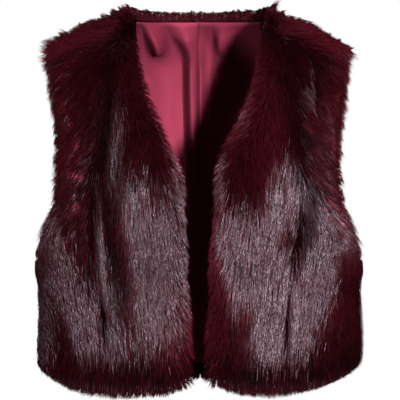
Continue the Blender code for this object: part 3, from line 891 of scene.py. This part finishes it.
def combHair(cloth, furrowColumn, count, seed):
    rng = np.random.default_rng(seed)
    row, column = scatterRoots(cloth, count, rng)
    roots = spotsOn(cloth, row, column)
    height = roots[:, 2]
    edgeGap, sideGap, below = edgeGaps(cloth, roots)
    ridge = bell(below, pileCut["ridge"])
    longer, armholeReach, shoulderReach, *limits = pileCut["longer"]
    armholeGap = along(giletCut["armhole"], 1, height) - np.abs(roots[:, 0])
    atArmhole = bell(armholeGap, armholeReach) * ramp(height, *limits)
    length = pileCut["length"] * (1 + longer * np.maximum(atArmhole, bell(below, shoulderReach)))
    length = length * rng.uniform(*pileCut["lengthSpread"], count) * (1 - pileCut["ridgeShort"] * ridge)
    if cloth["facing"] < 0:
        shorter, reach = pileCut["edgeShort"]
        length = length * (1 - shorter * bell(edgeGap, reach))
    swell = hairSwell(cloth, roots, edgeGap, sideGap)
    stops = walkHair(cloth, row, column, length, np.radians(combing["stray"]) * rng.normal(size=count))

    half = pileCut["midStep"]
    uneven = rng.normal(1.0, pileCut["uneven"], count)
    streak = softNoise(stops, 0, *combing["streakGrid"], rng)
    seen = spotsOn(cloth, *stops[pileCut["seenStep"]][:2])
    lift, tone, upright = combLift(seen, cloth["facing"], streak, rng.normal(size=count))
    red = rng.random(count) < combing["redShare"] * ramp(upright, *combing["redFrom"])
    kept = np.ones(count, bool)
    if cloth["facing"] < 0:
        chance = rng.random(count)
        for r, c, past in stops[half + 1 :: 2]:
            kept &= chance >= partedShare(spotsOn(cloth, r, c))

    # hair past an edge: curled in, matt and trimmed
    pastEdge = np.linalg.norm(stops[-1][2], axis=1)
    tipLimit, tipCurl, mattShare, ragged = edgeCrossed(cloth, *stops[-1][:2])
    tipCurl = tipCurl * rng.uniform(0, 2, count)
    ridgeMatt, *limits = edgeSet["ridgeMatt"]
    mattShare = mattShare * (pastEdge > edgeSet["mattPast"] * tipLimit)
    mattShare = np.maximum(mattShare, ridgeMatt * ramp(ridge, *limits))
    tuft = softNoise(stops, -1, *edgeSet["tuftGrid"], rng)
    differ, least, most, longest, shorter = edgeSet["trim"]
    trim = np.clip(1 + differ * ragged * tuft, least, most)
    limit = tipLimit * trim * (longest - ragged * rng.uniform(0, shorter, count))
    left = np.clip(1 - np.maximum(pastEdge - limit, 0) / length, edgeSet["stub"], 1)

    # shares of the depth at root, bend and tip
    bend = half / pileCut["steps"]
    drop = length * (1 - bend) * np.tan(lift)
    midShare = pileCut["tipShare"] - drop / along(pileCut["depth"], 1, height)
    midShare = np.clip(midShare, *pileCut["midShare"])
    full, at, reach, reachOut = pileCut["underarmShare"]
    underarm = bell(at - height, reach) * bell(roots[:, 1], reachOut)
    midShare = midShare + (full - midShare) * underarm
    under, fast = edgeSet["stubRoot"]
    stubbed = np.minimum(fast * (1 - left), 1)
    rootShare = pileCut["rootShare"] + (midShare - under - pileCut["rootShare"]) * stubbed
    shares = (rootShare, midShare, pileCut["tipShare"])

    places = []
    ridgeRise, ridgeDiffer = pileCut["ridgeRise"]
    for (r, c, past), share, grow in zip((stops[0], stops[half], stops[-1]), shares, (0, 0.5, 1)):
        spots = spotsOn(cloth, r, c)
        curl = 1 - tipCurl * ramp(np.linalg.norm(past, axis=1) / limit, 0, edgeSet["curlReach"])
        raised = share * (1 + grow * (uneven - 1)) + grow * ridge * (ridgeRise + ridgeDiffer * tuft)
        depth = pileDepth(spots, furrowColumn) * raised * curl
        places.append(spots + past + swell * grow + normalsOn(cloth, r, c) * depth[:, None])
    root, mid, tip = places
    left = left[:, None]
    short = root + (mid - root) * np.minimum(left / bend, 1)
    before, least = edgeSet["stubBend"]
    tone = np.minimum(tone + combing["toneSpread"] * rng.normal(size=count), pileFinish["glossyTo"])
    hair = {
        "root": root,
        "mid": root + (mid - root) * np.clip((left - before) / bend, least, 1),
        "tip": np.where(left > bend, mid + (tip - mid) * (left - bend) / (1 - bend), short),
        "normals": normalsOn(cloth, *stops[half][:2]),
        "tone": np.where(rng.random(count) < mattShare, edgeSet["mattTone"], tone),
        "gloss": np.ones(count),
        "red": red,
        "atEdge": np.maximum(ridge, atArmhole),
    }
    return gatherLocks({key: values[kept] for key, values in hair.items()}, rng)


# locks: hairs lean towards the nearest leading hair, in fine and in broad locks
lockSet = {
    "locks": ((8, 0.20, 1.6), (110, 0.09, 4.0)),  # hairs a lock, pull, more of it at edges
    "uneven": (0.5, 1.3),
    "mostPull": 0.8,
    "apart": 0.2,  # share of their distance at the root that tips keep
    "bend": (3, 0.35),  # times as far apart at the bend, share of the pull there
    "sharedTone": 0.25,
}


def gatherLocks(hair, rng):
    root, mid, tip, tone = (hair[key] for key in ("root", "mid", "tip", "tone"))
    wider, bendPull = lockSet["bend"]
    for every, pull, tufted in lockSet["locks"]:
        leaders = np.arange(0, len(root), every)
        tree = KDTree(len(leaders))
        for k, leader in enumerate(leaders):
            tree.insert(root[leader], k)
        tree.balance()
        nearest = leaders[[tree.find(spot)[1] for spot in root]]
        draw = pull * (1 + tufted * hair["atEdge"]) * rng.uniform(*lockSet["uneven"], len(root))
        draw = np.minimum(draw, lockSet["mostPull"])[:, None]
        aside = (root - root[nearest]) * lockSet["apart"]
        tip = tip + (tip[nearest] + aside - tip) * draw
        mid = mid + (mid[nearest] + aside * wider - mid) * draw * bendPull
        shared = tone * (1 - lockSet["sharedTone"]) + tone[nearest] * lockSet["sharedTone"]
        shared = np.minimum(shared, pileFinish["glossyTo"])
        tone = np.where(tone > pileFinish["mattFrom"], tone, shared)
    return {**hair, "mid": mid, "tip": tip, "tone": tone}


# short hair along free edges, over the whole thickness of the rim
rimSet = {
    "seed": 20,  # added to the panel's
    "past": 0.004,  # how far past its end an edge still has rim hair
    # hairs a metre, inset, shortest and longest share of the overhang, drift down
    "armhole": (9000, 0.004, 0.30, 0.65, 0.45),
    "backNeck": (38000, 0.006, 0.35, 1.10, 0.0),
    "hem": (8000, 0.004, 0.50, 1.00, 0.0),
    "shoulderTop": (24000, 0.004, 0.25, 1.00, 0.0),
    # tufts: step along the edge, pull to the middle, how much they differ in reach, hair tone (past the matt
    # line, so painted lighter), gloss, taper
    "armholeTuft": (0.006, 0.20, 0.25, 0.88, 0.8, 0.16),
    "backNeckTuft": (0.0085, 0.80, 0.85, 0.90, 0.6, 1.5),
    "hemTuft": (0.004, 0.10, 0.08, 0.88, 0.35, 0.08),
    "shoulderTopTuft": (0.0065, 0.60, 0.30, 0.88, 0.9, 1.4),
    "tuftJitter": 0.4,  # in steps
    "tuftStray": 1 / 3,  # of a hair to the next tuft, in steps and by the taper
    "tuftReach": (0.45, 1.6),
    "tuftPeak": (1.2, 0.2, 0.7, 0.35),  # reach in the middle, more and less of it by the taper, least
    "lean": (0.25, 0.10, 0.3),  # of tufts, of hairs, and of all on the shoulder
    "thickness": (0.02, 0.92),  # share of the depth where roots start, and that they take up
    "neckPower": 1.6,  # more of the back neck's roots on the inside
    "shoulderRoot": (0.45, 0.5),  # the same on the shoulder
    "shoulderBand": (-0.014, 0.004),  # how far from the seam they grow
    "armholeHang": (0.55, -0.290, -0.200),  # share of the overhang at the underarm, heights from and to
    "shoulderHang": (1.25, 0.45, 0.80, 0.084, 0.112),  # at the neck, lost on the right and left, from and to
    "roundOff": 0.4,  # share of the reach at the rim's corners
    "stray": 0.22,
    "underarmDrift": (0.5, -0.265, -0.295),
    # share of the reach out, of the fall and of the way to the middle of the thickness
    "bend": (0.6, 0.4, 0.15),
    "tip": (1.0, 1.0, 0.40),
    "facingSpread": 0.3,
    "toneSpread": 0.05,
}


def freeEdges(cloth):  # rows, columns, way out of the cloth in rows and columns, kind of edge
    points, past = cloth["points"], rimSet["past"]
    lastRow, lastColumn = points.shape[0] - 1, points.shape[1] - 1
    everyRow, everyColumn = np.arange(lastRow + 1), np.arange(lastColumn + 1)
    atArmhole = everyRow[points[:, lastColumn, 2] > giletCut["underarm"] - past]
    fromNeck = np.abs(points[lastRow, :, 0]) - giletCut["neckHalf"]
    edges = [
        (atArmhole, 0 * atArmhole + lastColumn, 0, 1, "armhole"),
        (0 * everyColumn, everyColumn, -1, 0, "hem"),
    ]
    if cloth["facing"] > 0:
        edges.append((atArmhole, 0 * atArmhole, 0, -1, "armhole"))
        neck = everyColumn[fromNeck < past]
        edges.append((0 * neck + lastRow, neck, 1, 0, "backNeck"))
    else:
        shoulder = everyColumn[fromNeck > -past]
        edges.append((0 * shoulder + lastRow, shoulder, 1, 0, "shoulderTop"))
    return edges


def rimHang(cloth, edge, spots):  # overhang that rim hair fills
    hang = overhang(edge, spots, cloth["side"] > 0)
    if edge == "armhole":
        least, *limits = rimSet["armholeHang"]
        hang = hang * (least + (1 - least) * ramp(spots[:, 2], *limits))
    if edge == "shoulderTop":
        atNeck, right, left, *limits = rimSet["shoulderHang"]
        lost = left if cloth["side"] > 0 else right
        hang = hang * (atNeck - lost * ramp(np.abs(spots[:, 0]), *limits))
    return hang


def edgeHair(cloth, furrowColumn, rng, row, column, alongRow, alongColumn, edge):
    density, inset, shortest, longest, drift = rimSet[edge]
    tuftStep, pull, uneven, shade, shine, taper = rimSet[edge + "Tuft"]
    line = cloth["points"][row, column]
    out = cloth["rowStep"][row, column] * alongRow + cloth["columnStep"][row, column] * alongColumn
    tangent = unit(np.gradient(line, axis=0))
    out = unit(out - tangent * (out * tangent).sum(1)[:, None])
    run = runAlong(line)
    count = int(run[-1] * density)
    at = rng.uniform(0, run[-1], count)

    def spread(values):  # from the line's points to the hairs
        return np.stack([np.interp(at, run, values[:, k]) for k in range(3)], axis=-1)

    tufts = np.arange(0, run[-1] + tuftStep, tuftStep)
    tufts = tufts + tuftStep * rng.uniform(-rimSet["tuftJitter"], rimSet["tuftJitter"], len(tufts))
    strayed = at + rimSet["tuftStray"] * taper * tuftStep * rng.normal(size=count)
    nearest = np.argmin(np.abs(strayed[:, None] - tufts), axis=1)
    offset = tufts[nearest] - at
    taller = 1 + uneven * rng.normal(size=len(tufts))[nearest]
    tuftLean, hairLean, shoulderLean = rimSet["lean"]
    lean = tuftLean * rng.normal(size=len(tufts))[nearest] + hairLean * rng.normal(size=count)
    spots, out, normals = spread(line), unit(spread(out)), unit(spread(cloth["normals"][row, column]))
    tangent = spread(tangent)
    depth = pileDepth(spots, furrowColumn)
    start, taken = rimSet["thickness"]
    share = start + taken * rng.random(count) ** (rimSet["neckPower"] if edge == "backNeck" else 1)
    if edge == "shoulderTop":
        spots = spots + out * rng.uniform(*rimSet["shoulderBand"], count)[:, None]
        start, taken = rimSet["shoulderRoot"]
        out, share, lean = normals, start + taken * share, lean + shoulderLean

    reach = rimHang(cloth, edge, spots) * rng.uniform(shortest, longest, count)
    reach *= np.clip(taller, *rimSet["tuftReach"])
    peak, more, less, least = rimSet["tuftPeak"]
    reach *= np.maximum(peak + more * taper - less * taper * np.abs(offset) / tuftStep, least)
    if edge in ("armhole", "hem"):
        reach *= rimSet["roundOff"] + (1 - rimSet["roundOff"]) * np.sqrt(1 - (2 * share - 1) ** 2)
    fall = np.array([0.0, 0.0, -1.0]) + rimSet["stray"] * rng.normal(size=(count, 3))
    fall = fall - normals * (fall * normals).sum(1)[:, None]
    if edge == "armhole":
        more, *limits = rimSet["underarmDrift"]
        drift = drift + more * ramp(spots[:, 2], *limits)[:, None]
    fall = (fall * drift + tangent * lean[:, None]) * reach[:, None] + tangent * (pull * offset)[:, None]

    def grown(outShare, fallShare, inward):
        step = out * (reach * outShare)[:, None] + fall * fallShare
        return spots + step + normals * (depth * (share + (0.5 - share) * inward))[:, None]

    facing = normals * (2 * share - 1)[:, None] + out + rimSet["facingSpread"] * rng.normal(size=(count, 3))
    return {
        "root": spots - out * inset + normals * (depth * share)[:, None],
        "mid": grown(*rimSet["bend"]),
        "tip": grown(*rimSet["tip"]),
        "normals": unit(facing),
        "tone": shade + rimSet["toneSpread"] * rng.normal(size=count),
        "gloss": np.full(count, shine),
        "red": np.zeros(count, bool),
    }


def joined(parts):  # one set of hair out of several, with what the last one holds
    return {key: np.concatenate([part[key] for part in parts]) for key in parts[-1]}


def rimHair(cloth, furrowColumn, seed):
    rng = np.random.default_rng(seed)
    return joined([edgeHair(cloth, furrowColumn, rng, *edge) for edge in freeEdges(cloth)])


# a hair: three sides, widest at its bend, closed to a point at both ends
hairShape = {
    # corners of each face: 0 top, 1 and 2 sides of the bend, 3 root, 4 tip
    "faces": ((1, 0, 4), (2, 1, 4), (0, 2, 4), (0, 1, 3), (1, 2, 3), (2, 0, 3)),
    # way each corner's shading faces, in degrees round the hair with 90 outwards
    "shading": (
        (165, 90, 90), (300, 240, 270), (90, 15, 90), (90, 165, 90), (240, 300, 270), (15, 90, 90)
    ),
    "ring": (90, 210, 330),
    "tones": (0.02, 0.96),  # least and most, for the OFBake map
    "rise": (0.55, 0.55, 0.55, 0.0, 1.0),  # share of the length, for that map
    "column": (0.006, 0.0, 0.012, 0.006, 0.006),  # place in its narrow column of that map
}


def hairMesh(name, hair):
    root, mid, tip = hair["root"], hair["mid"], hair["tip"]
    count = len(root)

    def around(way, degrees):  # unit vectors square to the hair
        sideways = unit(np.cross(way, hair["normals"]))
        upwards = np.cross(sideways, unit(way))
        angle = math.radians(degrees)
        return sideways * math.cos(angle) + upwards * math.sin(angle)

    ring = [mid + around(tip - root, degrees) * pileCut["radius"] for degrees in hairShape["ring"]]
    verts = np.stack(ring + [root, tip], axis=1)
    corners = np.array(hairShape["faces"]).ravel()
    loops = np.arange(count)[:, None] * verts.shape[1] + corners
    mesh = bpy.data.meshes.new(name)
    mesh.vertices.add(count * verts.shape[1])
    mesh.vertices.foreach_set("co", verts.ravel())
    mesh.loops.add(loops.size)
    mesh.loops.foreach_set("vertex_index", loops.ravel().astype(np.int32))
    mesh.polygons.add(loops.size // 3)
    mesh.polygons.foreach_set("loop_start", np.arange(0, loops.size, 3, dtype=np.int32))
    mesh.update(calc_edges=True)
    mesh.shade_smooth()
    ways = [tip - mid] * 3 + [mid - root] * 3
    shading = [around(way, degrees) for way, face in zip(ways, hairShape["shading"]) for degrees in face]
    mesh.normals_split_custom_set(np.stack(shading, axis=1).reshape(-1, 3))
    tone = np.clip(hair["tone"], *hairShape["tones"])[:, None] + np.array(hairShape["column"])[corners]
    rise = np.array(hairShape["rise"])[corners] * hair["gloss"][:, None]
    red = hair["red"] & (hair["tone"] < pileFinish["mattFrom"])
    rise = pileFinish["mapLength"] * rise + pileFinish["mapRed"] * red[:, None]
    hairMap = mesh.uv_layers.new(name="OFBake")
    hairMap.uv.foreach_set("vector", np.stack([tone, rise], axis=-1).ravel().astype(np.float32))
    return mesh


def dressFur(node, title, cloth, furrowColumn, count, seed):
    depth = pileDepth(cloth["points"], furrowColumn) * pileCut["underfurShare"]
    every = slice(None, None, 2)
    inside = cloth["points"][every, every]
    outside = inside + (cloth["normals"] * depth[..., None])[every, every]
    shell = newPiece(shellMesh("underfur" + title, inside, outside), underfurMaterial, node)
    hair = combHair(cloth, furrowColumn, count, seed)
    hair = joined([hair, rimHair(cloth, furrowColumn, seed + rimSet["seed"])])
    high = hair["root"][:, 2] > pileCut["splitHeight"]
    for part, chosen in (("Upper", high), ("Lower", ~high)):
        mesh = hairMesh("pile" + title + part, {key: values[chosen] for key, values in hair.items()})
        newPiece(mesh, pileMaterial, node)
    print(title, "fur:", len(high), "hairs")


# node, title, side, column of the furrow, how far the hem's corner rises and over what width, seed
frontCuts = (
    ("front_right", "FrontRight", -1, 1, 0.007, 0.014, 11),
    ("front_left", "FrontLeft", 1, 2, 0.010, 0.026, 12),
)
cloths = {}
for node, title, side, furrowColumn, rise, run, seed in frontCuts:
    cloths[node] = frontCloth(side, furrowColumn, rise, run)
    dressFur(node, title, cloths[node], furrowColumn, pileCut["count"]["front"], seed)
cloths["back"] = backCloth()
dressFur("back", "Back", cloths["back"], None, pileCut["count"]["back"], 13)


# lining: set back from the edges, folds raised towards the wearer
liningCut = {
    "gap": 0.0012,
    "deepest": 0.6,  # share of the gap that a groove may take
    "wall": 0.0012,
    "setback": 0.003,
    "neckSetback": -0.0030,
    "aboveHem": 0.016,
    "rowStep": 2,  # rows of the fur for each of the lining's
    "neckFiner": 4,  # columns of the back lining for each of the fur's, below the neck
    # across, half width, depth, top, bottom
    "folds": (
        (-0.112, 0.026, 0.006, -0.060, -0.400),
        (-0.046, 0.024, 0.007, -0.012, -0.380),
        (0.040, 0.022, 0.006, -0.016, -0.350),
        (0.105, 0.028, 0.006, -0.070, -0.410),
    ),
    # creases below the neck: height, across at the crease's foot, across at its top;
    # then its rise and the width of its far side
    "creases": (
        (
            (
                (0.000, -0.046, -0.022), (-0.009, -0.0426, -0.0195), (-0.017, -0.0372, -0.0149),
                (-0.025, -0.0311, -0.0122), (-0.036, -0.0257, -0.0095), (-0.049, -0.0230, -0.0108),
                (-0.085, -0.0230, -0.0105), (-0.144, -0.0215, -0.0090), (-0.230, -0.0200, -0.0075),
            ),
            0.0170,
            0.028,
        ),
        (((0.000, 0.016, 0.030), (-0.010, 0.018, 0.031), (-0.030, 0.017, 0.030)), 0.0115, 0.022),
        (((0.000, -0.077, -0.066), (-0.012, -0.076, -0.0635), (-0.030, -0.074, -0.060)), 0.0240, 0.026),
    ),
    "creaseFade": 0.010,
    "creaseStart": 0.002,  # how far above its highest point a crease starts
    # groove of the seam down the middle of the back: half width, depth at the top and lower down, from and to
    "seamGroove": (0.0020, 0.0012, 0.0040, -0.030, -0.070),
}


def liningFolds(points):  # how far creases, folds and seam stand out from the back
    x, height = points[..., 0], points[..., 2]
    raised = np.zeros(points.shape[:2])
    soft = liningCut["creaseFade"]
    for places, rise, far in liningCut["creases"]:
        heights, foot, top = np.array(sorted(places)).T
        foot, top = np.interp(height, heights, foot), np.interp(height, heights, top)
        fade = ramp(height, heights[0] - soft, heights[0] + soft)
        fade = fade * ramp(height, heights[-1] + liningCut["creaseStart"], heights[-1] - soft)
        raised += rise * fade * (ramp(x, foot, top) - ramp(x, top, top + far))
    grooveHalf, shallow, deep, *limits = liningCut["seamGroove"]
    raised -= (shallow + (deep - shallow) * ramp(height, *limits)) * bell(x, grooveHalf)
    for across, halfWidth, depth, top, bottom in liningCut["folds"]:
        middle = (top + bottom) / 2
        fade = np.clip(1 - ((height - middle) / (top - middle)) ** 4, 0, 1)
        raised += depth * fade * bell(x - across, halfWidth)
    return raised


def stretchOf(points, axis):  # length of each row or column
    return np.linalg.norm(np.diff(points, axis=axis), axis=-1).sum(axis=axis)


def dressLining(node, title, cloth, first, last):  # from the first of the fur's columns to the last
    points, onBack = cloth["points"], cloth["facing"] > 0
    rows, allColumns = points.shape[:2]
    columnRun = stretchOf(points, 0) / (rows - 1)  # metres a row, on each column
    rowRun = stretchOf(points, 1) / (allColumns - 1)  # metres a column, on each row
    rowStep, stops = liningCut["rowStep"], np.arange(first, last + 1, dtype=float)
    if onBack:
        middle, neck = allColumns // 2, clothGrid["neck"]
        fine = np.linspace(middle - neck, middle + neck, 2 * neck * liningCut["neckFiner"] + 1)
        fine = fine[(fine >= first) & (fine <= last)]
        stops = np.unique(np.concatenate([stops, fine]))
    r, c = np.meshgrid(np.arange(0, rows, rowStep, dtype=float), stops, indexing="ij")
    part = np.interp(stops, np.arange(allColumns), columnRun)
    bottom = liningCut["aboveHem"] / part
    across = np.interp(stops, np.arange(allColumns), points[-1, :, 0])
    top = np.where(inNeck(across), liningCut["neckSetback"], 0.0) / part
    r = bottom + r / (rows - 1) * (rows - 1 - bottom - top)
    inArmhole = points[..., 2] > giletCut["underarm"]
    startFree = (inArmhole[:, first] | (not onBack)) * (first == 0)
    endFree = inArmhole[:, last] * (last == allColumns - 1)
    startGap = (liningCut["setback"] / rowRun * startFree)[::rowStep]
    endGap = (liningCut["setback"] / rowRun * endFree)[::rowStep]
    t = (c - first) / (last - first)
    c = first + startGap[:, None] + t * (last - first - startGap - endGap)[:, None]
    spots, normals = spotsOn(cloth, r, c), normalsOn(cloth, r, c)
    raised = np.full(r.shape, liningCut["gap"])
    if onBack:
        raised += np.maximum(liningFolds(spots), -liningCut["deepest"] * liningCut["gap"])
    outside = spots - normals * raised[..., None]
    inside = outside - normals * liningCut["wall"]
    lining = newPiece(shellMesh("lining" + title, inside, outside), satinMaterial, node)


for side in ("right", "left"):
    cloth = cloths["front_" + side]
    lastFront = cloth["points"].shape[1] - 1
    dressLining("lining_front_" + side, "Front" + side.capitalize(), cloth, 0, lastFront)
lastBack = cloths["back"]["points"].shape[1] - 1
dressLining("lining_back_right", "BackRight", cloths["back"], 0, lastBack // 2)
dressLining("lining_back_left", "BackLeft", cloths["back"], lastBack // 2, lastBack)
print("lining hung")


# studio: a soft key a little to the right of the camera, weak fill, pale floor out of the main view
studioSet = {
    # name, place, size, power
    "lights": (
        ("key", (0.66, -2.25, -0.06), 0.15, 46.0),
        ("leftFill", (-1.61, -1.79, -0.15), 0.5, 10.0),
        ("rightFill", (1.45, -1.80, -0.15), 0.5, 5.0),
        ("back", (-0.50, 1.70, 1.50), 1.2, 5.0),
    ),
    "aim": (0.0, 0.0, -0.23),
    "ambient": 0.02,
    "floorHeight": -0.70,
    "floorRadius": 1.3,
    "floorSides": 96,
    "floorColour": (0.80, 0.79, 0.78, 1),
    "floorPale": (0.86, 0.85, 0.84, 1),
    "floorRoughness": 0.7,
    "floorMottle": 6.0,
}
for name, spot, size, power in studioSet["lights"]:
    bpy.ops.object.light_add(type="AREA", location=spot)
    light = bpy.context.object
    light.name = name + "Light"
    light.data.size = size
    light.data.energy = power
    light.data.cycles.max_bounces = 0  # keeps the hollow inside dark
    light.rotation_mode = "QUATERNION"
    light.rotation_quaternion = (Vector(studioSet["aim"]) - Vector(spot)).to_track_quat("-Z", "Y")

world = bpy.data.worlds.new("studioWhite")
world.use_nodes = True
bpy.context.scene.world = world
wire = Wire(world.node_tree)
background = world.node_tree.nodes["Background"]
background.inputs["Color"].default_value = (1, 1, 1, 1)
seen = wire.node("ShaderNodeLightPath", output=0)
connect(background, "Strength", studioSet["ambient"] + (1 - studioSet["ambient"]) * seen)

bpy.ops.mesh.primitive_circle_add(
    vertices=studioSet["floorSides"],
    radius=studioSet["floorRadius"],
    fill_type="NGON",
    location=(0, 0, studioSet["floorHeight"]),
)
floor = bpy.context.object
floor.name = "studioFloor"
floorMaterial, floorShader, wire = newMaterial("paleFloor", {"Roughness": studioSet["floorRoughness"]})
place = wire.node("ShaderNodeTexCoord", output=3)
mottle = wire.node("ShaderNodeTexNoise", {}, {"Vector": place, "Scale": studioSet["floorMottle"]})
connect(floorShader, "Base Color", mottle.mix(studioSet["floorColour"], studioSet["floorPale"]))
floor.data.materials.append(floorMaterial)
bpy.context.scene.view_settings.view_transform = "Standard"
print("studio lit")

bpy.context.view_layer.update()
